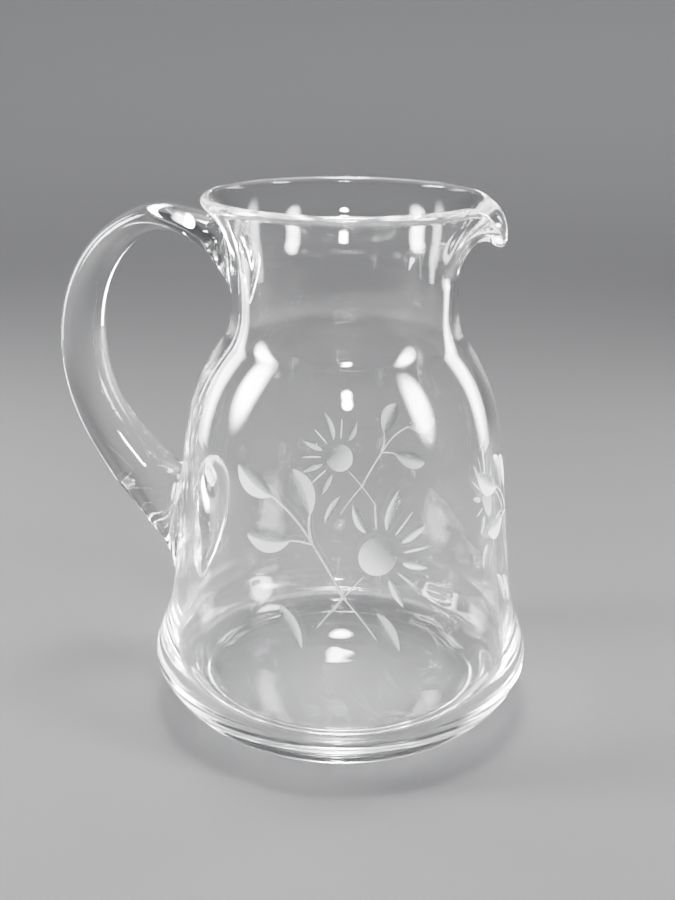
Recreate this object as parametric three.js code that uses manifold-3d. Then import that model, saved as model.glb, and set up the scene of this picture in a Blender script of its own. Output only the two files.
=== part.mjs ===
// A footed glass jug: a thick-based, bell-shaped body with a short neck, a flared rim and a pulled
// pouring lip, and a drawn glass handle welded to the neck and the side.
//
// Millimetres, +Z up. The origin is the centre of the flat foot, which stands on Z = 0.
// The lip points along +X and the handle along -X.

import * as THREE from 'three';
import { mergeVertices } from 'three/addons/utils/BufferGeometryUtils.js';
import Module from 'manifold-3d';

// ---- driving dimensions -------------------------------------------------------------------

const HEIGHT = 200;
const WELD_GAP = 0.3;

// Rings of the body are [radius, height] pairs, from the foot up.
const FOOT_FACE_RADIUS = 53.4;
const FOOT_EDGE = [55.2, 1.4];
const BULGE = [73.3, 22.2];
const SIDE_LOW = [66.0, 49.3];
const SIDE_HIGH = [62.1, 88.0];
const SHOULDER_TOP = [45.0, 147.4];
const NECK_RADIUS = 41.7;
const NECK_LOW = 165;
const NECK_HIGH = 172;

// The hollow: a nearly flat floor over a heavy base, and walls that thin towards the rim.
const FLOOR_HEIGHT = 13;
const FLOOR_RADIUS = 53.4;
const HOLLOW_BULGE = [66.6, 25.0];
const HOLLOW_SIDE_LOW = [61.4, 50.0];
const HOLLOW_SIDE_HIGH = [58.0, 88.0];
const HOLLOW_SHOULDER_TOP = [42.0, 145.9];
const NECK_WALL = 3.0;

// The edge of the mouth as it runs round, and as it is in the middle of the lip. The wall leaves
// the neck straight up for the rise and reaches the bead straight along its lean for the run.
const RIM = {
  radius: 50.0,
  height: 198.0,
  bead: 2.0,
  lean: THREE.MathUtils.degToRad(40),
  rise: 14.3,
  run: 9.0,
};
const LIP = {
  radius: 56.7,
  height: 187.3,
  bead: 2.0,
  lean: THREE.MathUtils.degToRad(128),
  rise: 4.7,
  run: 9.4,
};

// How far round the lip reaches out, and how far round it dips, with how square each fade is.
const LIP_REACH = { halfAngle: THREE.MathUtils.degToRad(11.4), squareness: 3.35 };
const LIP_DIP = { halfAngle: THREE.MathUtils.degToRad(8.1), squareness: 2.4 };
const BEAD_STEPS = 4;

// The inside goes the longer way round the bend, by these shares of the wall for each radian.
const INSIDE_RISE = 0.6;
const INSIDE_RUN = 0.3;
const FLARE_STEPS = 7;

// Stations of the handle from the neck round to the side: reach from the jug's axis, height,
// half thickness in the plane of the handle, and half width across it.
const HANDLE_STATIONS = [
  [36, 177.0, 8.0, 10.0],
  [50, 181.5, 6.8, 9.8],
  [58, 184.6, 5.5, 9.4],
  [66, 186.4, 4.8, 9.2],
  [76, 186.9, 4.9, 9.2],
  [87, 183.2, 5.4, 9.0],
  [97, 175.5, 6.1, 8.8],
  [106, 162.5, 7.3, 8.7],
  [111, 145.0, 8.5, 8.8],
  [111, 127.0, 9.0, 9.2],
  [106, 110.0, 9.5, 9.7],
  [97, 96.0, 10.4, 10.6],
  [86, 83.5, 12.0, 12.0],
  [74, 73.0, 14.5, 13.8],
  [60, 62.0, 17.0, 15.0],
  [46, 51.0, 17.0, 15.0],
];
const HANDLE_SIDES = 16;
const HANDLE_STEPS = 36;

// The two welds: a leaf-shaped tail down the neck and a broad oval pad on the side.
const TAIL = { reach: 42.5, height: 174.5, out: 10.8, across: 10.5, tall: 17.5, tilt: -0.1 };
const PAD = { reach: 60.5, height: 66.0, out: 13.0, across: 20.0, tall: 27.0, tilt: 0.06 };

// The columns of the body, which are closer together at the lip by this share and farther apart
// at the handle.
const BODY_SEGMENTS = 90;
const LIP_CROWDING = 0.5;
const PAD_SEGMENTS = 24;
const PAD_RINGS = 14;

// ---- materials ----------------------------------------------------------------------------

const bodyGlass = new THREE.MeshStandardMaterial({
  color: 0xe6ebe6,
  roughness: 0.03,
  metalness: 0,
  transparent: true,
  opacity: 0.35,
});

const handleGlass = bodyGlass.clone();

// ---- helpers ------------------------------------------------------------------------------

const point = ([radius, height]) => new THREE.Vector2(radius, height);

// Points of a cubic from a to b, leaving along `leave` and arriving along `arrive`, without a itself.
function curve(a, leave, arrive, b, steps) {
  const start = point(a);
  const end = point(b);
  const cubic = new THREE.CubicBezierCurve(
    start,
    start.clone().add(point(leave)),
    end.clone().sub(point(arrive)),
    end,
  );
  return cubic.getPoints(steps).slice(1);
}

// The wall above the neck, as the way up its outside, the round over its edge, and the way down.
function rimPoints({ radius, height, bead, lean, rise, run }) {
  const along = new THREE.Vector2(Math.sin(lean), Math.cos(lean));
  const outward = new THREE.Vector2(Math.cos(lean), -Math.sin(lean));
  const beadPoint = (turn) =>
    new THREE.Vector2(radius, height)
      .addScaledVector(outward, bead * Math.cos(turn))
      .addScaledVector(along, bead * Math.sin(turn));
  const neckOutside = [NECK_RADIUS, NECK_HIGH];
  const leadIn = along.clone().multiplyScalar(run).toArray();
  const up = curve(neckOutside, [0, rise], leadIn, beadPoint(0).toArray(), FLARE_STEPS);
  const over = [];
  for (let i = 1; i < BEAD_STEPS; i += 1) {
    over.push(beadPoint((Math.PI * i) / BEAD_STEPS));
  }
  const longer = NECK_WALL * lean;
  const inside = beadPoint(Math.PI);
  const leadOut = along.clone().multiplyScalar(-run - INSIDE_RUN * longer).toArray();
  const arrive = [0, -rise - INSIDE_RISE * longer];
  const neckInside = [NECK_RADIUS - NECK_WALL, NECK_HIGH];
  const down = curve(inside.toArray(), leadOut, arrive, neckInside, FLARE_STEPS);
  return { up, over: [...over, inside], down };
}

// The outside from the centre of the foot to the top of the straight neck.
function outsidePoints() {
  return [
    new THREE.Vector2(0, 0),
    new THREE.Vector2(FOOT_FACE_RADIUS, 0),
    point(FOOT_EDGE),
    ...curve(FOOT_EDGE, [10.4, 3.1], [0, 3.0], BULGE, 5),
    ...curve(BULGE, [0, 7.5], [-1.3, 12.0], SIDE_LOW, 4),
    ...curve(SIDE_LOW, [-1.3, 12.0], [-1.0, 14.0], SIDE_HIGH, 2),
    ...curve(SIDE_HIGH, [-2.4, 35.0], [-9.1, 12.0], SHOULDER_TOP, 6),
    ...curve(SHOULDER_TOP, [-3.7, 4.9], [0, 6.6], [NECK_RADIUS, NECK_LOW], 3),
    new THREE.Vector2(NECK_RADIUS, NECK_HIGH),
  ];
}

// The hollow from the foot of the neck down to the centre of the floor.
function hollowPoints() {
  const neck = [NECK_RADIUS - NECK_WALL, NECK_LOW];
  return [
    point(neck),
    ...curve(neck, [0, -7.0], [3.5, -4.6], HOLLOW_SHOULDER_TOP, 3),
    ...curve(HOLLOW_SHOULDER_TOP, [8.4, -11.1], [2.3, -32.5], HOLLOW_SIDE_HIGH, 5),
    ...curve(HOLLOW_SIDE_HIGH, [1.0, -14.0], [1.3, -12.0], HOLLOW_SIDE_LOW, 2),
    ...curve(HOLLOW_SIDE_LOW, [1.0, -11.0], [0, -6.0], HOLLOW_BULGE, 3),
    ...curve(HOLLOW_BULGE, [0, -7.0], [-9.0, -0.4], [FLOOR_RADIUS, FLOOR_HEIGHT], 4),
    new THREE.Vector2(0, FLOOR_HEIGHT),
  ];
}

// Share of the lip at an angle from +X: 1 in the middle of the lip, fading to 0 at its sides.
function lipShare(angle, { halfAngle, squareness }) {
  return Math.exp(-(Math.abs(angle / halfAngle) ** squareness));
}

// ---- body ---------------------------------------------------------------------------------

// A lathe turned about Y is stood up so that its axis is Z and its seam is at +X, and its columns
// are crowded towards the lip.
function standUp(geometry) {
  geometry.rotateX(Math.PI / 2).rotateZ(Math.PI / 2);
  const position = geometry.getAttribute('position');
  for (let i = 0; i < position.count; i += 1) {
    const radius = Math.hypot(position.getX(i), position.getY(i));
    const even = Math.atan2(position.getY(i), position.getX(i));
    const angle = even - LIP_CROWDING * Math.sin(even);
    position.setXYZ(i, radius * Math.cos(angle), radius * Math.sin(angle), position.getZ(i));
  }
  return geometry;
}

// The whole closed profile: foot, side, rim, hollow and floor.
function profile(rim) {
  const { up, over, down } = rimPoints(rim);
  return [...outsidePoints(), ...up, ...over, ...down, ...hollowPoints()];
}

// Each upright section of the body blends the plain profile with the one through the lip.
function bodyGeometry() {
  const plain = profile(RIM);
  const pulled = profile(LIP);
  const geometry = standUp(new THREE.LatheGeometry(plain, BODY_SEGMENTS));
  const position = geometry.getAttribute('position');
  for (let i = 0; i < position.count; i += 1) {
    const angle = Math.atan2(position.getY(i), position.getX(i));
    const ring = plain[i % plain.length];
    const lip = pulled[i % plain.length];
    const radius = THREE.MathUtils.lerp(ring.x, lip.x, lipShare(angle, LIP_REACH));
    const height = THREE.MathUtils.lerp(ring.y, lip.y, lipShare(angle, LIP_DIP));
    position.setXYZ(i, radius * Math.cos(angle), radius * Math.sin(angle), height);
  }
  return geometry;
}

// ---- handle -------------------------------------------------------------------------------

// A smooth value along the handle, as share runs from 0 at the neck to 1 at the side.
function stationTrack(index) {
  const steps = HANDLE_STATIONS.map((station, i) => new THREE.Vector2(i, station[index]));
  const track = new THREE.SplineCurve(steps);
  return (share) => track.getPoint(share).y;
}

// A closed unit cylinder whose rings are laid along the handle's centreline.
function drawnRod() {
  const spine = new THREE.CatmullRomCurve3(
    HANDLE_STATIONS.map(([reach, height]) => new THREE.Vector3(-reach, 0, height)),
  );
  const halfThickness = stationTrack(2);
  const halfWidth = stationTrack(3);
  const geometry = new THREE.CylinderGeometry(1, 1, 1, HANDLE_SIDES, HANDLE_STEPS);
  const position = geometry.getAttribute('position');
  for (let i = 0; i < position.count; i += 1) {
    const share = THREE.MathUtils.clamp(0.5 - position.getY(i), 0, 1);
    const centre = spine.getPoint(share);
    const tangent = spine.getTangent(share);
    const inPlane = position.getX(i) * halfThickness(share);
    const across = position.getZ(i) * halfWidth(share);
    position.setXYZ(i, centre.x + tangent.z * inPlane, across, centre.z - tangent.x * inPlane);
  }
  return geometry;
}

// A weld is a flattened ball sunk in the wall, leaning with it.
function weldGeometry({ reach, height, out, across, tall, tilt }) {
  return new THREE.SphereGeometry(1, PAD_SEGMENTS, PAD_RINGS)
    .rotateX(Math.PI / 2)
    .scale(out, across, tall)
    .rotateY(tilt)
    .translate(-reach, 0, height);
}

// Everything inside the outer wall, grown by the weld gap and carried up past the rim.
function bodyEnvelope() {
  const wall = [...outsidePoints().slice(1), ...rimPoints(RIM).up];
  const grown = wall.map((ring) => new THREE.Vector2(ring.x + WELD_GAP, ring.y));
  const top = grown[grown.length - 1].clone().setY(HEIGHT);
  const outline = [new THREE.Vector2(0, 0), ...grown, top, new THREE.Vector2(0, HEIGHT)];
  return standUp(new THREE.LatheGeometry(outline, BODY_SEGMENTS));
}

// ---- solids -------------------------------------------------------------------------------

const wasm = await Module();
wasm.setup();

function toSolid(geometry) {
  const bare = geometry.clone();
  bare.deleteAttribute('normal');
  bare.deleteAttribute('uv');
  const merged = mergeVertices(bare);
  return new wasm.Manifold(
    new wasm.Mesh({
      numProp: 3,
      vertProperties: Float32Array.from(merged.getAttribute('position').array),
      triVerts: Uint32Array.from(merged.getIndex().array),
    }),
  );
}

function fromSolid(solid) {
  const mesh = solid.getMesh();
  const geometry = new THREE.BufferGeometry();
  geometry.setAttribute('position', new THREE.BufferAttribute(mesh.vertProperties, mesh.numProp));
  geometry.setIndex(new THREE.BufferAttribute(mesh.triVerts, 1));
  geometry.computeVertexNormals();
  return geometry;
}

function handleGeometry() {
  const rod = toSolid(drawnRod());
  const tail = toSolid(weldGeometry(TAIL));
  const pad = toSolid(weldGeometry(PAD));
  const envelope = toSolid(bodyEnvelope());
  return fromSolid(rod.add(tail).add(pad).subtract(envelope));
}

// ---- assembly -----------------------------------------------------------------------------

const body = new THREE.Mesh(bodyGeometry(), bodyGlass);
body.name = 'body';

const handle = new THREE.Mesh(handleGeometry(), handleGlass);
handle.name = 'handle';

const jug = new THREE.Group();
jug.add(body, handle);

export default jug;
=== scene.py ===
"""A footed glass jug with a pulled lip, a drawn handle and wheel-cut flower sprays.

The shape is designed in millimetres, with +Z up, the lip along +X and the handle along -X. The
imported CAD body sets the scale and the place.
"""

import math

import bpy
import numpy as np
from mathutils import Matrix, Vector
from mathutils.geometry import delaunay_2d_cdt


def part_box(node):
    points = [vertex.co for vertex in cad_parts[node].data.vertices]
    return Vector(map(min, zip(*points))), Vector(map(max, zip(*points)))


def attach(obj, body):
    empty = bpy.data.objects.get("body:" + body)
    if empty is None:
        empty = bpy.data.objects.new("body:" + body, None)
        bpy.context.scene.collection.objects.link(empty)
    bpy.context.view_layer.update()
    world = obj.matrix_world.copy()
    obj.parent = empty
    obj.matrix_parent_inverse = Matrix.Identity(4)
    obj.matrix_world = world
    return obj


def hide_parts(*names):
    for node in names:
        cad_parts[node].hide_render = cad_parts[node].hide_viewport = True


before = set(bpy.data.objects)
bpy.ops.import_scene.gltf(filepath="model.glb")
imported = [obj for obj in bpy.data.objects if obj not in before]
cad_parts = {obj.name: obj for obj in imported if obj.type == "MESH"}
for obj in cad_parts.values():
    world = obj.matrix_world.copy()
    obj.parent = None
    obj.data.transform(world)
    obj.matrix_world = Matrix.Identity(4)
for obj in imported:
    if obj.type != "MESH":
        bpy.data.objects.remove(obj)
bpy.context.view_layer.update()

# ---- frame --------------------------------------------------------------------------------------

HEIGHT = 200.0
body_low, body_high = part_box("body")
MM = (body_high.z - body_low.z) / HEIGHT
ORIGIN = np.array(((body_low.x + body_high.x) / 2, (body_low.y + body_high.y) / 2, body_low.z))

# ---- driving dimensions, in millimetres ---------------------------------------------------------

# Rings of the outside are (radius, height) pairs.
FOOT_FACE_RADII = (14.0, 28.0, 40.0, 48.0, 51.5)
FOOT_EDGE = (55.2, 1.4)
BULGE = (73.3, 22.2)
SIDE_LOW = (66.0, 49.3)
SIDE_HIGH = (62.1, 88.0)
SHOULDER_TOP = (45.0, 147.4)
NECK_RADIUS = 41.7
NECK_LOW = 165.0
NECK_HIGH = 172.0

# The floor inside is 0.6 lower in its middle than at its edge.
FLOOR_HEIGHT = 13.0
FLOOR_MIDDLE_HEIGHT = FLOOR_HEIGHT - 0.6
FLOOR_MIDDLE_RADIUS = 30.0
FLOOR_RADIUS = 53.4
HOLLOW_BULGE = (66.6, 25.0)
HOLLOW_SIDE_LOW = (61.4, 50.0)
HOLLOW_SIDE_HIGH = (58.0, 88.0)
HOLLOW_SHOULDER_TOP = (42.0, 145.9)
NECK_WALL = 3.0

# The edge of the mouth as it runs round, and as it is in the middle of the lip. The wall leaves the
# neck straight up for the rise and reaches the bead straight along its lean for the run.
RIM = {"radius": 50.0, "height": 198.0, "bead": 2.0, "lean": math.radians(40), "rise": 14.3, "run": 9.0}
LIP = {"radius": 56.7, "height": 187.3, "bead": 2.0, "lean": math.radians(128), "rise": 4.7, "run": 9.4}
# The inside goes the longer way round the bend, by these shares of the wall for each radian.
INSIDE_RISE = 0.6
INSIDE_RUN = 0.3
# How far round the lip reaches out, and how far round it dips, with how square each fade is.
LIP_REACH = (math.radians(11.4), 3.35)
LIP_DIP = (math.radians(8.1), 2.4)

# Columns go round the body, closer together at the lip by this share and farther apart behind.
COLUMNS = 288
LIP_CROWDING = 0.55
ROW_SPACING = 1.5
BEAD_STEPS = 14
FLARE_STEPS = 22
FLARE_BACK_STEPS = 20

# How far hand-blown glass strays from a true round: each wave has a count of swells round the
# glass, a size, a start, a height for each radian of twist, and 1 if it differs inside and outside.
BLOWN_WAVE = 0.10
BLOWN_SWELLS = [
    (2, 1.0, 0.8, 61.0, 1),
    (3, 0.7, 0.0, -47.0, 1),
    (5, 0.5, 2.1, 33.0, 0),
    (9, 0.35, 0.0, -21.0, 1),
]
WALL_WAVE = 0.4
RIM_WAVE = 0.6
HOLLOW_PHASE = 1.9

TINY = 1e-6

# ---- small helpers ------------------------------------------------------------------------------


def bezier(start, leave, arrive, end, steps):
    """Points of a cubic from start to end, without start itself."""
    a, leave, arrive, b = (np.array(p, float) for p in (start, leave, arrive, end))
    share = np.linspace(0, 1, steps + 1)[1:, None]
    rest = 1 - share
    inner = 3 * rest**2 * share * (a + leave) + 3 * rest * share**2 * (b - arrive)
    return rest**3 * a + inner + share**3 * b


def turn(angle):
    return np.array((math.cos(angle), math.sin(angle)))


def natural_spline(knots, values):
    """A function through the values whose bend has no jumps."""
    knots, values = np.asarray(knots, float), np.asarray(values, float)
    gap = np.diff(knots)
    count = len(knots)
    system = np.eye(count)
    right = np.zeros_like(values)
    slopes = np.diff(values, axis=0) / gap[:, None]
    for i in range(1, count - 1):
        system[i, i - 1 : i + 2] = gap[i - 1], 2 * (gap[i - 1] + gap[i]), gap[i]
        right[i] = 6 * (slopes[i] - slopes[i - 1])
    bend = np.linalg.solve(system, right)

    def value(at):
        at = np.atleast_1d(at)
        i = np.clip(np.searchsorted(knots, at) - 1, 0, count - 2)
        step = gap[i][:, None]
        after = ((at - knots[i])[:, None]) / step
        before = 1 - after
        line = before * values[i] + after * values[i + 1]
        curve = (before**3 - before) * bend[i] + (after**3 - after) * bend[i + 1]
        return line + curve * step**2 / 6

    return value


def to_world(points):
    return ORIGIN + np.asarray(points, float) * MM


def make_piece(name, points, faces, materials, face_material=None):
    """A smooth mesh object that rides on the root body."""
    mesh = bpy.data.meshes.new(name)
    mesh.from_pydata(to_world(points).tolist(), [], [tuple(map(int, face)) for face in faces])
    for material in materials:
        mesh.materials.append(material)
    if face_material is not None:
        mesh.polygons.foreach_set("material_index", np.asarray(face_material, np.int32))
    mesh.polygons.foreach_set("use_smooth", np.ones(len(faces), bool))
    mesh.update()
    piece = bpy.data.objects.new(name, mesh)
    bpy.context.scene.collection.objects.link(piece)
    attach(piece, "root")
    return piece


def quads_between(first, second):
    """Quads joining two closed rings of vertex numbers."""
    return np.stack([first, np.roll(first, -1), np.roll(second, -1), second], axis=1)


# ---- profile of the body ------------------------------------------------------------------------


def foot_points():
    """From near the centre of the foot out and up to the bulge."""
    face = np.array([(radius, 0.0) for radius in FOOT_FACE_RADII])
    edge = bezier(face[-1], (1.6, 0.0), (0.5, 0.6), FOOT_EDGE, 6)
    under = bezier(FOOT_EDGE, (10.4, 3.1), (0, 3.0), BULGE, 24)
    return np.vstack([face, edge, under])


def side_points(fine):
    """From the bulge up to the top of the straight neck, with the bulge itself."""
    return np.vstack(
        [
            np.array([BULGE]),
            bezier(BULGE, (0, 7.5), (-1.3, 12.0), SIDE_LOW, 4 * fine),
            bezier(SIDE_LOW, (-1.3, 12.0), (-1.0, 14.0), SIDE_HIGH, 5 * fine),
            bezier(SIDE_HIGH, (-2.4, 35.0), (-9.1, 12.0), SHOULDER_TOP, 9 * fine),
            bezier(SHOULDER_TOP, (-3.7, 4.9), (0, 6.6), (NECK_RADIUS, NECK_LOW), 3 * fine),
            bezier((NECK_RADIUS, NECK_LOW), (0, 2), (0, 2), (NECK_RADIUS, NECK_HIGH), fine),
        ]
    )


def rim_points(edge):
    """The wall above the neck: up the outside, over the bead and down the inside."""
    along = np.array((math.sin(edge["lean"]), math.cos(edge["lean"])))
    outward = np.array((math.cos(edge["lean"]), -math.sin(edge["lean"])))
    centre = np.array((edge["radius"], edge["height"]))

    def bead(angle):
        return centre + edge["bead"] * (outward * math.cos(angle) + along * math.sin(angle))

    longer = NECK_WALL * edge["lean"]
    neck_outside = (NECK_RADIUS, NECK_HIGH)
    up = bezier(neck_outside, (0, edge["rise"]), along * edge["run"], bead(0), FLARE_STEPS)
    over = np.array([bead(math.pi * i / BEAD_STEPS) for i in range(1, BEAD_STEPS + 1)])
    neck_inside = (NECK_RADIUS - NECK_WALL, NECK_HIGH)
    rise = edge["rise"] + INSIDE_RISE * longer
    run = edge["run"] + INSIDE_RUN * longer
    down = bezier(bead(math.pi), -along * run, (0, -rise), neck_inside, FLARE_BACK_STEPS)
    return up, over, down


def hollow_points():
    """From the neck down the inside to near the centre of the floor."""
    neck_top = (NECK_RADIUS - NECK_WALL, NECK_HIGH)
    neck = (NECK_RADIUS - NECK_WALL, NECK_LOW)
    floor = (FLOOR_RADIUS, FLOOR_HEIGHT)
    floor_middle = (FLOOR_MIDDLE_RADIUS, FLOOR_MIDDLE_HEIGHT)
    return np.vstack(
        [
            bezier(neck_top, (0, -2), (0, -2), neck, 5),
            bezier(neck, (0, -7.0), (3.5, -4.6), HOLLOW_SHOULDER_TOP, 14),
            bezier(HOLLOW_SHOULDER_TOP, (8.4, -11.1), (2.3, -32.5), HOLLOW_SIDE_HIGH, 34),
            bezier(HOLLOW_SIDE_HIGH, (1.0, -14.0), (1.3, -12.0), HOLLOW_SIDE_LOW, 22),
            bezier(HOLLOW_SIDE_LOW, (1.0, -11.0), (0, -6.0), HOLLOW_BULGE, 16),
            bezier(HOLLOW_BULGE, (0, -7.0), (-9.0, -0.4), floor, 20),
            bezier(floor, (-6, -0.25), (-8, 0), floor_middle, 8),
            bezier(floor_middle, (-8, 0), (-6, 0), (4.0, FLOOR_MIDDLE_HEIGHT), 8),
        ]
    )


FINE = side_points(80)
FINE_RUN = np.concatenate([[0], np.cumsum(np.linalg.norm(np.diff(FINE, axis=0), axis=1))])
FINE_SLOPE = np.gradient(FINE, FINE_RUN, axis=0)


def run_at_height(height):
    return float(np.interp(height, FINE[:, 1], FINE_RUN))


def side_at(run):
    """Radius, height and their change along the outside, at a length above the bulge."""
    ring = [np.interp(run, FINE_RUN, FINE[:, k]) for k in (0, 1)]
    slope = [np.interp(run, FINE_RUN, FINE_SLOPE[:, k]) for k in (0, 1)]
    return (*ring, *slope)


def blown(angle, height, phase):
    """How far the glass strays from a true round, in millimetres."""
    stray = 0
    for count, size, start, twist, differs in BLOWN_SWELLS:
        stray = stray + size * np.cos(count * angle + start + height / twist + differs * phase)
    return BLOWN_WAVE * stray


# ---- wheel-cut flowers --------------------------------------------------------------------------

# Places in a spray are (across, up) from the middle of its flower, across being the way round the
# wall. A cut is a groove from a base to a tip: half width, how round its base and tip are, how far
# it bows, where its deepest line runs from -1 to 1 across it, and its depth.
CUT_RADIUS = 64.0
FROST = "frost"
# Height of each flower, its way round in degrees and its size: they were cut by hand.
SPRAY_PLACES = [(86.5, -58.6, 1.0), (80.5, 29.0, 0.95), (77.5, 111.5, 0.87)]
DISC_RADIUS = 7.0
DISC_DEPTH = 0.55
# The way across the flower that is painted lighter, and how matt its disc is: in its middle, how
# much more towards that side as painted shading, and at least.
PAINTED_LIGHT_SIDE = np.array((-0.76, -0.65))
DISC_FROST = 0.55
DISC_PAINTED_SHADE_CHANGE = 0.55
DISC_FROST_LEAST = 0.15
PETAL = {"half": 1.85, "base": 0.7, "tip": 0.95, "bow": 0.4, "ridge": 0.2, "depth": 0.5}
RAY = {"half": 0.42, "base": 0.3, "tip": 0.45, "bow": 0.0, "ridge": 0.0, "depth": 0.3}
STEM = {"half": 0.42, "base": 0.12, "tip": 0.12, "bow": 0.0, "ridge": 0.0, "depth": 0.3}
HAIR = {"half": 0.24, "base": 0.15, "tip": 0.15, "bow": 0.0, "ridge": 0.0, "depth": 0.2}
LEAF = {"half": 4.3, "base": 0.8, "tip": 0.7, "bow": 1.0, "ridge": 0.12, "depth": 0.6}
BLADE = {"half": 2.3, "base": 0.8, "tip": 0.9, "bow": 0.7, "ridge": 0.2, "depth": 0.5}
PETAL_START = 9.6
PETAL_LENGTHS = (11.0, 14.5, 11.0, 10.5, 12.0)
RAY_LENGTH = 10.0
# Petals and rays take turns round the flower, from this way and by this step in degrees.
FLOWER_PARTS = 9
FLOWER_FIRST = 116.0
FLOWER_STEP = 22.6
# Where the leaf stalks meet. A stalk runs on into its leaf a little, and bows with its length.
NODE = (-23.0, 4.0)
STALK_OVERLAP = 0.6
STALK_PER_BOW = 14
# How matt a plain line is, and the skimmed side of a leaning groove, how soon that changes to the
# bitten side, and how much the bitten side fades towards its edge.
LINE_FROST = 0.7
SKIM_FROST = 0.4
RIDGE_FADE = 0.35
BITE_FADE = 0.3

BAND_LOW = 44.0
BAND_HIGH = 122.0
OUTLINE_STEP = 0.7
GRID_STEP = 2.6
CLEARANCE = 1.1
# Rings of points inside the disc, as shares of its radius, and lines of points along a groove
# that is wider than this, as shares of its half width.
DISC_RINGS = (0.85, 0.66, 0.45, 0.22)
WIDE_GROOVE = 1.0
GROOVE_LINES = (-0.8, 0.1, 0.7)
# Slopes and frost are read a little inside a triangle, so that they are those of its own side.
PROBE_INSET = 0.25
PROBE_STEP = 0.02
FROST_INSET = 0.2
LEAST_DEPTH = 1e-4
LEAST_AREA = 1e-9


def groove(base, tip, cut, **changes):
    return {"base_at": np.array(base, float), "tip_at": np.array(tip, float), **{**cut, **changes}}


def spray_cuts():
    """Every groove of one spray, in its own coordinates."""
    cuts = []
    for i in range(FLOWER_PARTS):
        way = turn(math.radians(FLOWER_FIRST - i * FLOWER_STEP))
        if i % 2 == 0:
            # Painted shading: each petal's matt, bitten side faces the way painted lighter.
            side = np.sign(PAINTED_LIGHT_SIDE @ (-way[1], way[0]))
            tip = (PETAL_START + PETAL_LENGTHS[i // 2]) * way
            cuts.append(groove(PETAL_START * way, tip, PETAL, ridge=side * PETAL["ridge"]))
        else:
            cuts.append(groove(PETAL_START * way, (PETAL_START + RAY_LENGTH) * way, RAY))
    node = np.array(NODE)
    # Way and length of each stalk, way and length of its leaf, and the leaf's matt side.
    leaves = [
        (136.0, 22.0, 152.0, 18.0, 1.0),
        (97.0, 10.5, 116.0, 17.0, -1.0),
        (176.5, 8.5, 182.0, 17.0, 1.0),
    ]
    for degrees, stalk, leaf_degrees, length, side in leaves:
        way = turn(math.radians(degrees))
        start = node + stalk * way
        bow = -side * stalk / STALK_PER_BOW
        cuts.append(groove(node, start + STALK_OVERLAP * way, STEM, bow=bow))
        swing = turn(math.radians(leaf_degrees))
        bow = LEAF["bow"] * side
        ridge = LEAF["ridge"] * side
        cuts.append(groove(start, start + length * swing, LEAF, bow=bow, ridge=ridge))
    cuts.append(groove(node, (-11.5, -15.5), STEM, bow=0.4))
    cuts.append(groove((-13.5, -13.0), (-0.5, -30.5), HAIR, bow=0.5))
    cuts.append(groove((-4.8, -6.8), (-21.0, -26.0), HAIR, bow=-0.5))
    cuts.append(groove((-34.5, -19.0), (-26.0, -34.0), BLADE))
    cuts.append(groove((-0.5, -20.5), (7.5, -35.5), BLADE, half=2.0))
    return cuts


def half_width(cut, share):
    """Half width of a groove along its length, 0 at both ends."""
    shape = np.clip(share, 0, 1) ** cut["base"] * np.clip(1 - share, 0, 1) ** cut["tip"]
    widest = cut["base"] / (cut["base"] + cut["tip"])
    return cut["half"] * shape / (widest ** cut["base"] * (1 - widest) ** cut["tip"])


def groove_way(cut):
    """Length of a groove, the way along it and the way across it."""
    span = cut["tip_at"] - cut["base_at"]
    length = np.linalg.norm(span)
    along = span / length
    return length, along, np.array((-along[1], along[0]))


def groove_point(cut, share, across):
    """The place on the wall at a share of a groove's length and of its half width."""
    length, along, aside = groove_way(cut)
    offset = cut["bow"] * 4 * share * (1 - share) + across * half_width(cut, share)
    return cut["base_at"] + np.outer(share * length, along) + np.outer(offset, aside)


def shares_in_groove(cut, places):
    """The shares of a groove's length and half width at places, and the half width there."""
    length, along, aside = groove_way(cut)
    offset = places - cut["base_at"]
    share = offset @ along / length
    inside = np.clip(share, 0, 1)
    half = half_width(cut, inside)
    across = (offset @ aside - cut["bow"] * 4 * inside * (1 - inside)) / np.maximum(half, TINY)
    return share, across, half


def groove_depth(cut, places):
    """Depth of a groove at places on the wall, 0 outside it."""
    share, across, half = shares_in_groove(cut, places)
    ridge = cut["ridge"]
    side = np.where(across < ridge, (across + 1) / (1 + ridge), (1 - across) / (1 - ridge))
    depth = cut["depth"] * np.clip(side, 0, 1) * (half / cut["half"])
    return np.where((share > 0) & (share < 1) & (np.abs(across) < 1), depth, 0.0)


def groove_frost(cut, places):
    """How matt a groove is: the wheel leans, so it bites on one side and skims the other."""
    lean = np.sign(cut["ridge"])
    if not lean:
        return np.full(len(places), LINE_FROST)
    _, across, _ = shares_in_groove(cut, places)
    beyond = np.clip((lean * across - abs(cut["ridge"])) / RIDGE_FADE + 0.5, 0, 1)
    skimmed = SKIM_FROST * (1 + np.clip(lean * across, -1, 0))
    bitten = 1.0 - BITE_FADE * np.clip(lean * across, 0, 1)
    return skimmed + (bitten - skimmed) * beyond


def disc_frost_and_painted_shade(places):
    """How matt the flower's disc is: frosted all over, and more matt, so lighter, towards one side as
    painted shading.
    """
    # Painted shading: the frost grows towards the side painted lighter.
    toward = places @ PAINTED_LIGHT_SIDE / DISC_RADIUS
    return np.clip(DISC_FROST + DISC_PAINTED_SHADE_CHANGE * toward, DISC_FROST_LEAST, 1.0)


def disc_depth(places):
    """Depth of the flower's disc, a shallow bowl."""
    away = np.linalg.norm(places, axis=-1) / DISC_RADIUS
    return DISC_DEPTH * np.clip(1 - away**2, 0, 1)


CUTS = spray_cuts()
SPRAYS = [
    (np.array((CUT_RADIUS * (math.radians(degrees) + math.pi), run_at_height(height))), size)
    for height, degrees, size in SPRAY_PLACES
]
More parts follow.
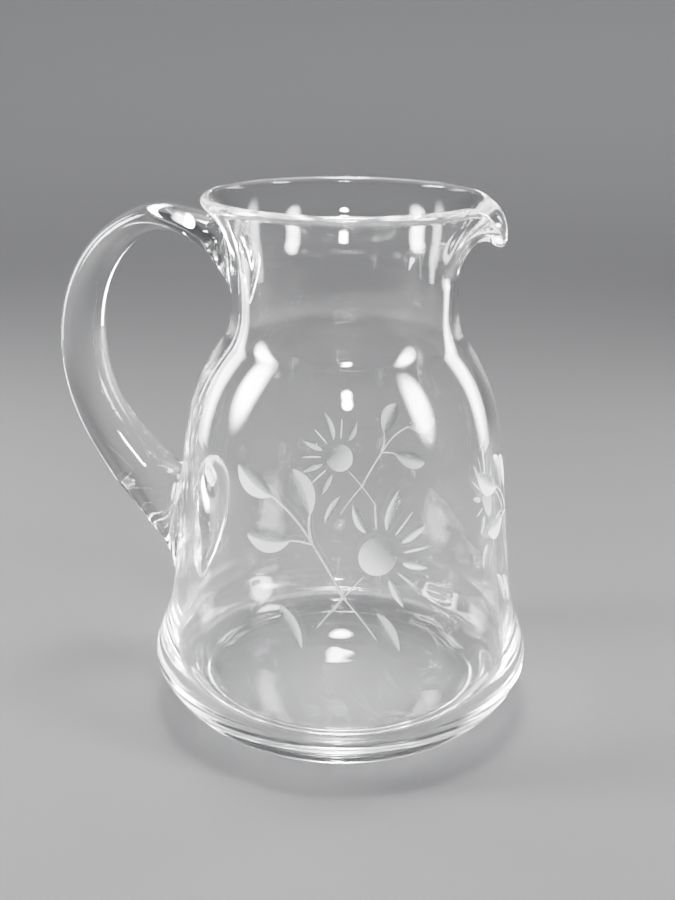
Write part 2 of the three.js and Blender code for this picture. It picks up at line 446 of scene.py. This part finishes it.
# How far a spray reaches from its flower.
REACH_LEFT = 64.0
REACH_RIGHT = 24.0
REACH_DOWN = 40.0
REACH_UP = 34.0


def near_spray(places, middle):
    """Which places lie in a spray's own stretch of the wall."""
    offset = places - middle
    across = (offset[:, 0] > -REACH_LEFT) & (offset[:, 0] < REACH_RIGHT)
    return across & (offset[:, 1] > -REACH_DOWN) & (offset[:, 1] < REACH_UP)


def cut_depth(places):
    """Depth of the deepest cut at places (way round, length up) on the wall."""
    depth = np.zeros(len(places))
    for middle, size in SPRAYS:
        near = near_spray(places, middle)
        if not near.any():
            continue
        local = (places[near] - middle) / size
        deepest = disc_depth(local)
        for cut in CUTS:
            deepest = np.maximum(deepest, groove_depth(cut, local))
        depth[near] = deepest
    return depth


def cut_frost(places):
    """How matt the deepest cut is at places on the wall."""
    frost = np.zeros(len(places))
    for middle, size in SPRAYS:
        near = near_spray(places, middle)
        if not near.any():
            continue
        local = (places[near] - middle) / size
        deepest = disc_depth(local)
        matt = disc_frost_and_painted_shade(local)
        for cut in CUTS:
            depth = groove_depth(cut, local)
            matt = np.where(depth > deepest, groove_frost(cut, local), matt)
            deepest = np.maximum(deepest, depth)
        frost[near] = matt
    return frost


def spray_outlines():
    """Closed outlines, and points inside them, of one spray."""
    outlines, inner = [], []
    count = int(2 * math.pi * DISC_RADIUS / OUTLINE_STEP)
    circle = np.array([turn(2 * math.pi * i / count) for i in range(count)])
    outlines.append(DISC_RADIUS * circle)
    for share in DISC_RINGS:
        every = 1 if share > 0.5 else 2
        inner.append(DISC_RADIUS * share * circle[::every])
    for cut in CUTS:
        length = np.linalg.norm(cut["tip_at"] - cut["base_at"])
        count = max(8, int(length / OUTLINE_STEP))
        share = (1 - np.cos(np.linspace(0, math.pi, count + 1))) / 2
        low = groove_point(cut, share, -1.0)
        high = groove_point(cut, share[1:-1], 1.0)[::-1]
        outlines.append(np.vstack([low, high]))
        inner.append(groove_point(cut, share[1:-1], cut["ridge"]))
        if cut["half"] > WIDE_GROOVE:
            mirror = -1 if cut["ridge"] > 0 else 1
            for across in GROOVE_LINES:
                inner.append(groove_point(cut, share[2:-2], mirror * across))
    return outlines, inner


# ---- body ---------------------------------------------------------------------------------------


def column_angles():
    """One turn of columns from the handle, where the cut band has its seam, and closest at the lip."""
    even = np.linspace(-math.pi, math.pi, COLUMNS + 1)
    return even - LIP_CROWDING * np.sin(even)


def lip_share(angle, spread):
    """1 in the middle of the lip, fading to 0 at its sides."""
    half_angle, squareness = spread
    return np.exp(-(np.abs(angle / half_angle) ** squareness))


def rings_from(plain, pulled=None, phase=0.0, wave=1.0):
    """Ring points, (rings, columns, 3), from a profile and optionally the one through the lip."""
    angle = column_angles()[:-1]
    share = np.stack([lip_share(angle, LIP_REACH), lip_share(angle, LIP_DIP)], axis=-1)[None]
    other = (plain if pulled is None else pulled)[:, None, :]
    ring = plain[:, None, :] * (1 - share) + other * share
    radius = ring[..., 0] + wave * blown(angle[None, :], ring[..., 1], phase)
    height = ring[..., 1] * np.ones_like(radius)
    return np.stack([radius * np.cos(angle), radius * np.sin(angle), height], axis=-1)


def wall_point(places, depth):
    """Points of the outer wall at places (way round, length up), pressed in by depth."""
    angle = places[:, 0] / CUT_RADIUS - math.pi
    radius, height, out, up = side_at(places[:, 1])
    size = np.hypot(out, up)
    radius = radius + blown(angle, height, 0.0) * WALL_WAVE - depth * up / size
    height = height + depth * out / size
    return np.stack([radius * np.cos(angle), radius * np.sin(angle), height], axis=-1)


def wall_frame(places):
    """Unit outward normal, way round and way up of the outer wall."""
    angle = places[:, 0] / CUT_RADIUS - math.pi
    _, _, out, up = side_at(places[:, 1])
    size = np.hypot(out, up)
    out, up = out / size, up / size
    normal = np.stack([up * np.cos(angle), up * np.sin(angle), -out], axis=-1)
    around = np.stack([-np.sin(angle), np.cos(angle), np.zeros_like(angle)], axis=-1)
    return normal, around, np.cross(normal, around)


def band_mesh(low, high):
    """The cut band between two lengths up the side, as places, triangles and border numbers."""
    width = 2 * math.pi * CUT_RADIUS
    column = CUT_RADIUS * (column_angles() + math.pi)
    rows = np.linspace(low, high, int((high - low) / GRID_STEP) + 1)
    points = [np.stack([column, np.full(COLUMNS + 1, low)], axis=1)]
    points.append(np.stack([column, np.full(COLUMNS + 1, high)], axis=1))
    points.append(np.stack([np.zeros(len(rows) - 2), rows[1:-1]], axis=1))
    points.append(np.stack([np.full(len(rows) - 2, width), rows[1:-1]], axis=1))
    border = sum(len(p) for p in points)
    bottom = np.arange(COLUMNS + 1)
    top = bottom + COLUMNS + 1
    left = np.arange(len(rows) - 2) + 2 * (COLUMNS + 1)
    right = left + len(rows) - 2
    left_line = np.concatenate([[bottom[0]], left, [top[0]]])
    right_line = np.concatenate([[bottom[-1]], right, [top[-1]]])
    edges = [np.stack([line[:-1], line[1:]], axis=1) for line in (bottom, top, left_line, right_line)]

    outlines, inner = spray_outlines()
    used = border
    for middle, size in SPRAYS:
        for outline in outlines:
            number = used + np.arange(len(outline))
            points.append(outline * size + middle)
            edges.append(np.stack([number, np.roll(number, -1)], axis=1))
            used += len(outline)
        for line in inner:
            points.append(line * size + middle)
            used += len(line)

    drawn = np.vstack(points[4:])
    across = np.linspace(0, width, int(width / GRID_STEP) + 1)[1:-1]
    grid = np.array([(x, y) for y in rows[1:-1] for x in across])
    taken = set()
    for x, y in (drawn / CLEARANCE).round().astype(int):
        taken.update((x + i, y + j) for i in (-1, 0, 1) for j in (-1, 0, 1))
    free = [tuple(key) not in taken for key in (grid / CLEARANCE).round().astype(int)]
    points.append(grid[np.array(free)])

    flat = np.vstack(points)
    joined = np.vstack(edges)
    found = delaunay_2d_cdt(
        [Vector(p) for p in flat.tolist()], [tuple(e) for e in joined.tolist()], [], 0, 1e-4
    )
    places = np.array([tuple(v) for v in found[0]])
    triangles = np.array([tuple(f) for f in found[2]])
    number = {}
    for i, origin in enumerate(found[3]):
        for j in origin:
            if j < border:
                number[j] = i
    sides = [np.array([number[j] for j in line]) for line in (bottom, top, left_line, right_line)]
    a, b, c = (places[triangles[:, k]] for k in range(3))
    area = (b[:, 0] - a[:, 0]) * (c[:, 1] - a[:, 1]) - (b[:, 1] - a[:, 1]) * (c[:, 0] - a[:, 0])
    triangles[area < 0] = triangles[area < 0][:, ::-1]
    return places, triangles[np.abs(area) > LEAST_AREA], sides


def band_normals(places, triangles, is_cut):
    """Corner normals of the band: the true wall on clear faces, the groove's own side on cut ones."""
    corners = places[triangles].reshape(-1, 2)
    middle = np.repeat(places[triangles].mean(axis=1), 3, axis=0)
    normal, around, upward = wall_frame(corners)
    cut_corner = np.repeat(is_cut, 3)
    probe = corners[cut_corner] + PROBE_INSET * (middle[cut_corner] - corners[cut_corner])
    right = np.array((PROBE_STEP, 0))
    up = np.array((0, PROBE_STEP))
    slope_right = (cut_depth(probe + right) - cut_depth(probe - right)) / (2 * PROBE_STEP)
    slope_up = (cut_depth(probe + up) - cut_depth(probe - up)) / (2 * PROBE_STEP)
    normal[cut_corner] += around[cut_corner] * np.clip(slope_right, -1, 1)[:, None]
    normal[cut_corner] += upward[cut_corner] * np.clip(slope_up, -1, 1)[:, None]
    return normal / np.linalg.norm(normal, axis=1, keepdims=True)


def side_rings(start, end):
    """The profile between two lengths up the side, without start itself."""
    runs = np.linspace(start, end, int((end - start) / ROW_SPACING) + 1)[1:]
    return np.stack(side_at(runs)[:2], axis=1)


def build_body(clear, cut):
    """The whole blown body: foot, cut band, neck, rim with the lip, and hollow."""
    low, high = run_at_height(BAND_LOW), run_at_height(BAND_HIGH)
    band_top = np.stack(side_at(np.array([high]))[:2], axis=1)
    rim_and_lip = [np.vstack(rim_points(edge)) for edge in (RIM, LIP)]
    sets = [
        rings_from(np.vstack([foot_points(), side_rings(0, low)]), wave=WALL_WAVE),
        rings_from(np.vstack([band_top, side_rings(high, FINE_RUN[-1])]), wave=WALL_WAVE),
        rings_from(*rim_and_lip, wave=RIM_WAVE),
        rings_from(hollow_points(), phase=HOLLOW_PHASE),
    ]
    rings = np.vstack(sets)
    rings[: len(FOOT_FACE_RADII), :, 2] = 0.0
    ring_count = len(rings)
    points = [rings.reshape(-1, 3), np.array([(0, 0, 0), (0, 0, FLOOR_MIDDLE_HEIGHT)])]
    number = np.arange(ring_count * COLUMNS).reshape(ring_count, COLUMNS)
    foot_middle, floor_middle = ring_count * COLUMNS, ring_count * COLUMNS + 1

    last_below = len(sets[0]) - 1
    faces = []
    for i in range(ring_count - 1):
        if i != last_below:
            faces.extend(quads_between(number[i], number[i + 1]))
    for i in range(COLUMNS):
        j = (i + 1) % COLUMNS
        faces.append((foot_middle, number[0][j], number[0][i]))
        faces.append((floor_middle, number[-1][i], number[-1][j]))
    plain_faces = len(faces)

    places, triangles, sides = band_mesh(low, high)
    bottom, top, left, right = sides
    vertex = np.full(len(places), -1)
    vertex[bottom[:-1]] = number[last_below]
    vertex[top[:-1]] = number[last_below + 1]
    vertex[bottom[-1]] = number[last_below][0]
    vertex[top[-1]] = number[last_below + 1][0]
    fresh = vertex < 0
    fresh[right] = False
    vertex[fresh] = floor_middle + 1 + np.arange(fresh.sum())
    vertex[right[1:-1]] = vertex[left[1:-1]]
    depth = cut_depth(places)
    on_border = np.zeros(len(places), bool)
    on_border[np.concatenate(sides)] = True
    depth[on_border] = 0
    points.append(wall_point(places[fresh], depth[fresh]))
    centre = places[triangles].mean(axis=1)
    is_cut = cut_depth(centre) > LEAST_DEPTH
    faces.extend(vertex[triangles])
    face_material = np.concatenate([np.zeros(plain_faces, int), is_cut.astype(int)])

    jug = make_piece("body_glass", np.vstack(points), faces, (clear, cut), face_material)
    band_corners = 3 * len(triangles)
    normals = np.zeros((len(jug.data.loops), 3))
    normals[-band_corners:] = band_normals(places, triangles, is_cut)
    jug.data.normals_split_custom_set([tuple(n) for n in normals])
    corner = places[triangles]
    inner = corner + FROST_INSET * (corner.mean(axis=1, keepdims=True) - corner)
    frost = np.zeros(len(jug.data.loops), np.float32)
    frost[-band_corners:] = cut_frost(inner.reshape(-1, 2))
    jug.data.attributes.new(FROST, "FLOAT", "CORNER").data.foreach_set("value", frost)
    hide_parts("body")


# ---- handle -------------------------------------------------------------------------------------

# Stations of the handle from the neck round to the side: reach from the jug's axis, height, half
# thickness in the plane of the handle, and half width across it.
HANDLE_STATIONS = [
    (54, 182.9, 6.3, 9.6),
    (58, 184.6, 5.7, 9.4),
    (66, 186.7, 4.9, 9.2),
    (76, 187.2, 5.2, 9.2),
    (87, 183.2, 5.4, 9.0),
    (97, 175.5, 6.1, 8.8),
    (106, 162.5, 7.3, 8.7),
    (111, 145.0, 8.5, 8.8),
    (111, 127.0, 9.0, 9.2),
    (106, 110.0, 9.5, 9.7),
    (97, 96.0, 10.4, 10.6),
    (88, 85.5, 11.8, 11.8),
]
HANDLE_SIDES = 72
HANDLE_ROWS = 130
WELD_ROWS = 22
WELD_EDGE_ROWS = 7
WELD_CAP_ROWS = 5
WELD_SINK = 0.25
CREST_STEP = 0.01
# A drawn rod swells and thins a little: size, length for each radian, and start.
HANDLE_SWELLS = [(0.10, 17.0, 0.0), (0.07, 7.3, 1.0)]
WIDTH_SWELL = -0.5

# A weld's outline on the wall: its middle height, how far it goes up, down and across, how
# pointed its lower end is, the roundness of its edge, and how far the glass runs straight on
# from the rod and along the wall.
TAIL = {
    "height": 177.0,
    "up": 12.5,
    "down": 20.0,
    "across": 10.5,
    "point": 1.35,
    "edge": 3.2,
    "leave": 9.0,
    "arrive": 5.0,
}
PAD = {
    "height": 68.0,
    "up": 25.0,
    "down": 28.5,
    "across": 20.0,
    "point": 1.3,
    "edge": 3.8,
    "leave": 15.0,
    "arrive": 14.0,
}

WALL = np.vstack([FINE, rim_points(RIM)[0]])
WALL_SLOPE = np.gradient(WALL, axis=0)
WALL_SLOPE /= np.linalg.norm(WALL_SLOPE, axis=1, keepdims=True)


def wall_at(around, height, off):
    """Points a distance off the outer wall behind the jug, by length round it and height."""
    radius = np.interp(height, WALL[:, 1], WALL[:, 0])
    out = np.interp(height, WALL[:, 1], WALL_SLOPE[:, 0])
    up = np.interp(height, WALL[:, 1], WALL_SLOPE[:, 1])
    angle = math.pi - around / radius
    away = radius + off * up
    return np.stack([away * np.cos(angle), away * np.sin(angle), height - off * out], axis=-1)


def weld_rows(weld, rod_ring, rod_way, sides):
    """Rings from the last one of the rod out to the weld's edge, over it and across the wall."""
    lean = 2 * math.pi * np.arange(HANDLE_SIDES) / HANDLE_SIDES
    upward = np.cos(lean) * sides
    reach = np.where(upward > 0, weld["up"], weld["down"]) * upward
    narrow = np.where(upward > 0, 1.0, np.abs(np.sin(lean)) ** (weld["point"] - 1))
    around = -weld["across"] * np.sin(lean) * narrow

    def outline(share, off):
        return wall_at(around * share, weld["height"] + reach * share, off)

    size = np.maximum(np.hypot(around, reach), TINY)
    inset = 1 - weld["edge"] / size
    crest = outline(inset, np.full(HANDLE_SIDES, weld["edge"]))
    beyond = outline(inset + CREST_STEP, np.full(HANDLE_SIDES, weld["edge"]))
    outward = beyond - crest
    outward /= np.linalg.norm(outward, axis=1, keepdims=True)
    rows = []
    for i in range(1, WELD_ROWS + 1):
        t = i / WELD_ROWS
        from_rod = (2 * t**3 - 3 * t**2 + 1) * rod_ring + (t**3 - 2 * t**2 + t) * weld["leave"] * rod_way
        to_wall = (3 * t**2 - 2 * t**3) * crest + (t**3 - t**2) * weld["arrive"] * outward
        rows.append(from_rod + to_wall)
    for i in range(1, WELD_EDGE_ROWS + 1):
        bend = math.pi / 2 * i / WELD_EDGE_ROWS
        off = weld["edge"] * math.cos(bend) - WELD_SINK * (i == WELD_EDGE_ROWS)
        share = 1 - weld["edge"] * (1 - math.sin(bend)) / size
        rows.append(outline(share, np.full(HANDLE_SIDES, off)))
    for i in range(1, WELD_CAP_ROWS):
        share = (1 - i / WELD_CAP_ROWS) * np.ones(HANDLE_SIDES)
        rows.append(outline(share, np.full(HANDLE_SIDES, -WELD_SINK)))
    middle = wall_at(np.zeros(1), np.array([weld["height"]]), np.array([-WELD_SINK]))
    return rows, middle


def build_handle(clear):
    """The rod of the handle and its two welds, as one closed mesh."""
    stations = np.array(HANDLE_STATIONS, float)
    run = np.concatenate([[0], np.cumsum(np.hypot(*np.diff(stations[:, :2], axis=0).T))])
    track = natural_spline(run, stations)
    at = np.linspace(0, run[-1], HANDLE_ROWS)
    reach, height, thick, wide = track(at).T
    swell = sum(size * np.cos(at / length + start) for size, length, start in HANDLE_SWELLS)
    thick = thick + swell
    wide = wide + WIDTH_SWELL * swell
    centre = np.stack([-reach, np.zeros_like(reach), height], axis=1)
    way = np.gradient(centre, at, axis=0)
    way /= np.linalg.norm(way, axis=1, keepdims=True)
    lean = 2 * math.pi * np.arange(HANDLE_SIDES) / HANDLE_SIDES
    # The first side of each ring faces the finger gap.
    inward = np.stack([-way[:, 2], np.zeros_like(reach), way[:, 0]], axis=1)
    across = np.array((0.0, -1.0, 0.0))
    rod = [
        centre[i]
        + np.outer(np.cos(lean), inward[i]) * thick[i]
        + np.outer(np.sin(lean), across) * wide[i]
        for i in range(HANDLE_ROWS)
    ]
    tail_rows, tail_middle = weld_rows(TAIL, rod[0], -way[0], -1.0)
    pad_rows, pad_middle = weld_rows(PAD, rod[-1], way[-1], 1.0)
    rows = tail_rows[::-1] + rod + pad_rows
    count = len(rows)
    number = np.arange(count * HANDLE_SIDES).reshape(count, HANDLE_SIDES)
    first, last = count * HANDLE_SIDES, count * HANDLE_SIDES + 1
    faces = []
    for i in range(count - 1):
        faces.extend(quads_between(number[i], number[i + 1]))
    for i in range(HANDLE_SIDES):
        j = (i + 1) % HANDLE_SIDES
        faces.append((first, number[0][j], number[0][i]))
        faces.append((last, number[-1][i], number[-1][j]))
    points = np.vstack([*rows, tail_middle, pad_middle])
    handle = make_piece("handle_glass", points, faces, (clear,), None)
    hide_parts("handle")


# ---- materials ----------------------------------------------------------------------------------

GLASS_IOR = 1.51
GLASS_TINT = (0.87, 0.905, 0.88, 1.0)
TINT_DENSITY = 2.0
# Bumps are scale, detail, strength and distance: the skin of blown glass and the grain of cut glass.
BLOWN_SKIN = (45.0, 1.0, 0.12, 0.0006)
CUT_GRAIN = (1800.0, 3.0, 0.5, 0.0002)
# How much lamp light passes the glass where it meets the surface flat on and at a slant.
SLANT_RANGE = (0.2, 0.75)
PASSED_RANGE = (0.93, 0.1)
# The range of matt that takes these sockets of cut glass from their clearest to their mattest.
MATT_RANGE = (0.2, 1.15)
MATT_SOCKETS = {"Transmission Weight": (0.95, 0.4), "Roughness": (0.14, 0.75)}
MATT_MOTTLE = 0.3
# The floor's grey near the jug and far off, painted lighter far off to make up for the lamps' falloff,
# and the distances in metres where it changes.
FLOOR_NEAR = (0.105, 0.105, 0.107, 1.0)
FLOOR_FAR_PAINTED_LIGHT = (0.42, 0.42, 0.43, 1.0)
FLOOR_CHANGE = (0.5, 2.6)


def new_material(name):
    """An empty Principled material, with its nodes that matter."""
    material = bpy.data.materials.new(name)
    material.use_nodes = True
    nodes = material.node_tree.nodes
    nodes.clear()
    shader = nodes.new("ShaderNodeBsdfPrincipled")
    output = nodes.new("ShaderNodeOutputMaterial")
    material.node_tree.links.new(shader.outputs["BSDF"], output.inputs["Surface"])
    return material, shader, output


def map_range(tree, source, start, end=(0.0, 1.0), smooth=True):
    """The output of a node that takes the source from one range to another."""
    node = tree.nodes.new("ShaderNodeMapRange")
    if smooth:
        node.interpolation_type = "SMOOTHSTEP"
    for name, value in zip(("From Min", "From Max", "To Min", "To Max"), (*start, *end)):
        node.inputs[name].default_value = value
    tree.links.new(source, node.inputs["Value"])
    return node.outputs["Result"]


def noise_bump(tree, shader, scale, detail, strength, distance):
    """A procedural unevenness of the surface. Gives back its noise."""
    place = tree.nodes.new("ShaderNodeTexCoord")
    noise = tree.nodes.new("ShaderNodeTexNoise")
    noise.inputs["Scale"].default_value = scale
    noise.inputs["Detail"].default_value = detail
    tree.links.new(place.outputs["Object"], noise.inputs["Vector"])
    bump = tree.nodes.new("ShaderNodeBump")
    bump.inputs["Strength"].default_value = strength
    bump.inputs["Distance"].default_value = distance
    tree.links.new(noise.outputs["Fac"], bump.inputs["Height"])
    tree.links.new(bump.outputs["Normal"], shader.inputs["Normal"])
    return noise.outputs["Fac"]


def tint_inside(tree, output):
    """The faint grey-green of thick clear glass."""
    tint = tree.nodes.new("ShaderNodeVolumeAbsorption")
    tint.inputs["Color"].default_value = GLASS_TINT
    tint.inputs["Density"].default_value = TINT_DENSITY
    tree.links.new(tint.outputs["Volume"], output.inputs["Volume"])


def let_lamps_through(tree, shader, output):
    """Lamps light what lies under the glass, dimmed where they meet its surface at a slant."""
    path = tree.nodes.new("ShaderNodeLightPath")
    slant = tree.nodes.new("ShaderNodeLayerWeight")
    slant.inputs["Blend"].default_value = 0.5
    passing = tree.nodes.new("ShaderNodeBsdfTransparent")
    passed = map_range(tree, slant.outputs["Facing"], SLANT_RANGE, PASSED_RANGE)
    tree.links.new(passed, passing.inputs["Color"])
    either = tree.nodes.new("ShaderNodeMixShader")
    tree.links.new(path.outputs["Is Shadow Ray"], either.inputs["Fac"])
    tree.links.new(shader.outputs["BSDF"], either.inputs[1])
    tree.links.new(passing.outputs["BSDF"], either.inputs[2])
    tree.links.new(either.outputs["Shader"], output.inputs["Surface"])


def clear_glass():
    """Blown and drawn glass with a smooth, faintly uneven skin."""
    material, shader, output = new_material("clear_glass")
    tree = material.node_tree
    let_lamps_through(tree, shader, output)
    shader.inputs["Base Color"].default_value = (1.0, 1.0, 1.0, 1.0)
    shader.inputs["Transmission Weight"].default_value = 1.0
    shader.inputs["Roughness"].default_value = 0.0
    shader.inputs["IOR"].default_value = GLASS_IOR
    noise_bump(tree, shader, *BLOWN_SKIN)
    tint_inside(tree, output)
    return material


def cut_glass():
    """Glass left matt by the cutting wheel."""
    material, shader, output = new_material("cut_glass")
    tree = material.node_tree
    shader.inputs["Base Color"].default_value = (0.95, 0.95, 0.95, 1.0)
    shader.inputs["IOR"].default_value = GLASS_IOR
    grain = noise_bump(tree, shader, *CUT_GRAIN)
    matt = tree.nodes.new("ShaderNodeAttribute")
    matt.attribute_name = FROST
    mottled = tree.nodes.new("ShaderNodeMath")
    mottled.operation = "MULTIPLY_ADD"
    mottled.inputs[1].default_value = MATT_MOTTLE
    tree.links.new(grain, mottled.inputs[0])
    tree.links.new(matt.outputs["Fac"], mottled.inputs[2])
    for name, ends in MATT_SOCKETS.items():
        spread = map_range(tree, mottled.outputs[0], MATT_RANGE, ends, smooth=False)
        tree.links.new(spread, shader.inputs[name])
    tint_inside(tree, output)
    return material


def floor_material():
    """Plain pale paper, painted lighter where it curves up far from the lamps, to make up for their
    falloff.
    """
    material, shader, _ = new_material("pale_floor")
    tree = material.node_tree
    place = tree.nodes.new("ShaderNodeTexCoord")
    away = tree.nodes.new("ShaderNodeVectorMath")
    away.operation = "LENGTH"
    tree.links.new(place.outputs["Object"], away.inputs[0])
    blend = tree.nodes.new("ShaderNodeMix")
    blend.data_type = "RGBA"
    blend.inputs["A"].default_value = FLOOR_NEAR
    blend.inputs["B"].default_value = FLOOR_FAR_PAINTED_LIGHT
    # Painted light: the floor's colour grows lighter far off, where less lamp light reaches it.
    tree.links.new(map_range(tree, away.outputs["Value"], FLOOR_CHANGE), blend.inputs["Factor"])
    tree.links.new(blend.outputs["Result"], shader.inputs["Base Color"])
    shader.inputs["Roughness"].default_value = 0.65
    shader.inputs["Specular IOR Level"].default_value = 0.3
    return material


# ---- stage, lights and camera -------------------------------------------------------------------

# The camera looks along +Y in the studio, and the jug's lip is turned 20 degrees towards it. The
# jug keeps its place, so the studio is turned instead.
STUDIO_TURN = math.radians(20.0)
CAMERA_BACK = 458.3
CAMERA_UP = 264.6
CAMERA_DOWN = math.radians(19.388)
CAMERA_YAW = 0.0048
CAMERA_ROLL = 0.0119
CAMERA_LENS = 67.88
SENSOR_WIDTH = 36.0

# The floor lies a hair below the foot, and curves up all round beyond its flat part.
FLOOR_GAP = 0.1
STAGE_FLAT_RADII = (150.0, 400.0, 650.0, 900.0)
STAGE_ROUND = 2400.0
STAGE_CURVE = 62.0
STAGE_STEPS = 20
STAGE_COLUMNS = 96

# Lamps are soft rectangles that face the jug's middle: a place in the studio in millimetres, a
# width and a height in metres, and a power in watts.
LAMP_AIM = (0, 0, 90)
LAMPS = {
    "left_softbox": ((-800, -60, 480), 0.36, 0.75, 24.0),
    "right_softbox": ((760, -380, 510), 0.34, 0.75, 20.0),
    "left_strip": ((-560, 300, 260), 0.24, 0.8, 5.0),
    "right_strip": ((560, 300, 260), 0.24, 0.8, 5.0),
    "top_softbox": ((0, 110, 1300), 0.45, 0.45, 30.0),
    "ceiling_softbox": ((0, 700, 1900), 2.0, 2.0, 26.0),
    "back_softbox": ((0, 850, 412), 0.05, 0.03, 0.12),
    "front_softbox": ((60, -1000, 900), 0.22, 0.22, 16.0),
}
# A lamp is darkest at the first distance from its middle and full from the second, as shares of
# its size, and its full strength makes up for the dark edge.
LAMP_FADE = (0.5, 0.2)
LAMP_STRENGTH = (0.0, 2.0)
AIR_COLOUR = (0.95, 0.97, 1.0, 1.0)
AIR_STRENGTH = 0.17


def studio(x, y, z):
    """A studio place in millimetres as a place in the row frame in metres."""
    c, s = math.cos(STUDIO_TURN), math.sin(STUDIO_TURN)
    return Vector(to_world((c * x - s * y, s * x + c * y, z)))


def add_camera():
    """The camera, which looks down at the jug."""
    data = bpy.data.cameras.new("camera")
    data.lens = CAMERA_LENS
    data.sensor_fit = "HORIZONTAL"
    data.sensor_width = SENSOR_WIDTH
    data.clip_start = 0.01
    data.clip_end = 50.0
    camera = bpy.data.objects.new("camera", data)
    bpy.context.scene.collection.objects.link(camera)
    heading = Matrix.Rotation(STUDIO_TURN + CAMERA_YAW, 4, "Z")
    pitch = Matrix.Rotation(math.pi / 2 - CAMERA_DOWN, 4, "X")
    roll = Matrix.Rotation(CAMERA_ROLL, 4, "Z")
    camera.matrix_world = Matrix.Translation(studio(0, -CAMERA_BACK, CAMERA_UP)) @ heading @ pitch @ roll
    bpy.context.scene.camera = camera


def soften_edges(data):
    """Makes a lamp fade towards its edges, as a diffuser does."""
    data.use_nodes = True
    tree = data.node_tree
    place = tree.nodes.new("ShaderNodeNewGeometry")
    away = tree.nodes.new("ShaderNodeVectorMath")
    away.operation = "DISTANCE"
    away.inputs[1].default_value = (0.5, 0.5, 0.0)
    tree.links.new(place.outputs["Parametric"], away.inputs[0])
    strength = map_range(tree, away.outputs["Value"], LAMP_FADE, LAMP_STRENGTH)
    tree.links.new(strength, tree.nodes["Emission"].inputs["Strength"])


def add_softbox(name, place, width, height, power):
    """A soft rectangular lamp that faces the jug."""
    data = bpy.data.lights.new(name, "AREA")
    data.shape = "RECTANGLE"
    data.size = width
    data.size_y = height
    data.energy = power
    soften_edges(data)
    lamp = bpy.data.objects.new(name, data)
    lamp.location = studio(*place)
    target = Vector(to_world(LAMP_AIM))
    lamp.rotation_euler = (target - lamp.location).to_track_quat("-Z", "Y").to_euler()
    bpy.context.scene.collection.objects.link(lamp)


def build_stage():
    """A pale floor that curves up all round, far enough away to show no edge."""
    line = [(radius, 0.0) for radius in STAGE_FLAT_RADII]
    for i in range(1, STAGE_STEPS + 1):
        bend = math.radians(STAGE_CURVE) * i / STAGE_STEPS
        radius = STAGE_FLAT_RADII[-1] + STAGE_ROUND * math.sin(bend)
        line.append((radius, STAGE_ROUND * (1 - math.cos(bend))))
    angle = 2 * math.pi * np.arange(STAGE_COLUMNS) / STAGE_COLUMNS
    level = np.ones(STAGE_COLUMNS)
    rings = [
        np.stack([radius * np.cos(angle), radius * np.sin(angle), (height - FLOOR_GAP) * level], axis=1)
        for radius, height in line
    ]
    number = np.arange(len(rings) * STAGE_COLUMNS).reshape(len(rings), STAGE_COLUMNS)
    faces = [tuple(number[0].tolist())]
    for i in range(len(rings) - 1):
        faces.extend(tuple(face) for face in quads_between(number[i + 1], number[i]).tolist())
    mesh = bpy.data.meshes.new("floor")
    mesh.from_pydata(to_world(np.vstack(rings)).tolist(), [], faces)
    mesh.materials.append(floor_material())
    mesh.polygons.foreach_set("use_smooth", np.ones(len(faces), bool))
    floor = bpy.data.objects.new("floor", mesh)
    bpy.context.scene.collection.objects.link(floor)


def build_lights():
    """A dim even air and the lamps."""
    world = bpy.data.worlds.new("studio_air")
    world.use_nodes = True
    background = world.node_tree.nodes["Background"]
    background.inputs["Color"].default_value = AIR_COLOUR
    background.inputs["Strength"].default_value = AIR_STRENGTH
    bpy.context.scene.world = world
    for name, lamp in LAMPS.items():
        add_softbox(name, *lamp)


# ---- render settings that deep glass needs ------------------------------------------------------

# Light runs along inside a thick wall for dozens of reflections before it leaves.
DEEP = 80
EXPOSURE = -0.4


def set_render_paths():
    """The tone, and how long light is followed, with bright light through the glass left whole."""
    bpy.context.scene.view_settings.look = "AgX - High Contrast"
    bpy.context.scene.view_settings.exposure = EXPOSURE
    cycles = bpy.context.scene.cycles
    cycles.max_bounces = DEEP
    cycles.transmission_bounces = DEEP
    cycles.glossy_bounces = DEEP
    cycles.diffuse_bounces = 4
    cycles.transparent_max_bounces = 16
    cycles.sample_clamp_indirect = 0.0


glass = clear_glass()
build_body(glass, cut_glass())
build_handle(glass)
add_camera()
build_stage()
build_lights()
set_render_paths()
